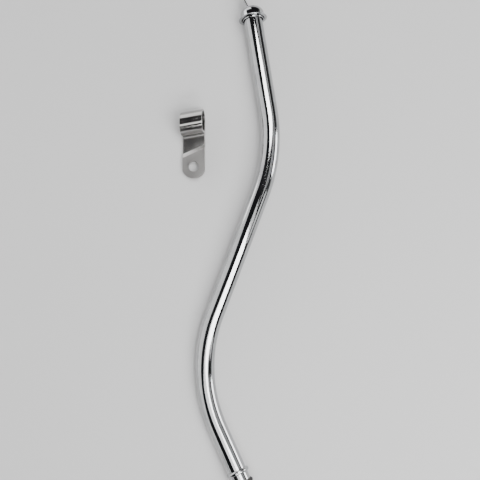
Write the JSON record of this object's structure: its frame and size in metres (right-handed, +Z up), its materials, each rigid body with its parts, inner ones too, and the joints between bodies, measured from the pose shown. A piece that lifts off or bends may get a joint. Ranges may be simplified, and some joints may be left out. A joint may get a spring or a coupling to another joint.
{
  "type": "transmission dipstick and filler tube",
  "caption": "S-bent chrome filler tube with stop bead, pull-out dipstick with domed cap and finger loop, and a loose strap clamp with bolt tab.",
  "frame": {"origin": "middle of the footprint, on the surface the parts lie on", "axes": "+Y runs from the tube's lower end towards the cap, +Z up from the surface, +X to the right with the cap at the far end"},
  "size_m": [0.0862, 0.5076, 0.0245],
  "materials": {
    "chrome_plate": "mirror bright plating",
    "clamp_chrome": "plated, satin on the flat tab",
    "polished_strip": "bright rolled strip",
    "spring_steel": "rolled strip, lightly oiled",
    "zinc_plate": "bright zinc plating",
    "black_rubber": "matt moulded rubber"
  },
  "bodies": {
    "tube": {"filler_tube": "chrome_plate", "lower_seal": "black_rubber", "blade_middle": "spring_steel"},
    "dipstick": {"cap_shell": "chrome_plate", "cap_sleeve": "zinc_plate", "cap_gasket": "black_rubber", "cap_retainer": "zinc_plate", "handle_loop": "polished_strip", "blade_rivet_upper": "zinc_plate", "blade_rivet_lower": "zinc_plate", "blade_upper": "spring_steel"},
    "blade_end": {"blade_tip": "spring_steel"},
    "clamp": {"clamp_strap": "clamp_chrome"}
  },
  "joints": [
    {"name": "dipstick_pull", "type": "slide", "parent": "tube", "child": "dipstick", "axis": [-0.1594, 0.9872, -0.0075], "range_m": [0, 0.07], "deforming": ["blade_middle"]},
    {"name": "blade_tip_follow", "type": "slide", "parent": "tube", "child": "blade_end", "axis": [-0.4151, 0.9094, -0.0268], "range_m": [0, 0.07], "deforming": ["blade_middle"]},
    {"name": "clamp_lift", "type": "slide", "parent": "tube", "child": "clamp", "axis": [0, 0, 1], "range_m": [0, 0.06]}
  ],
  "couplings": [
    {"joint": "blade_tip_follow", "follows": "dipstick_pull", "ratio": 1}
  ]
}
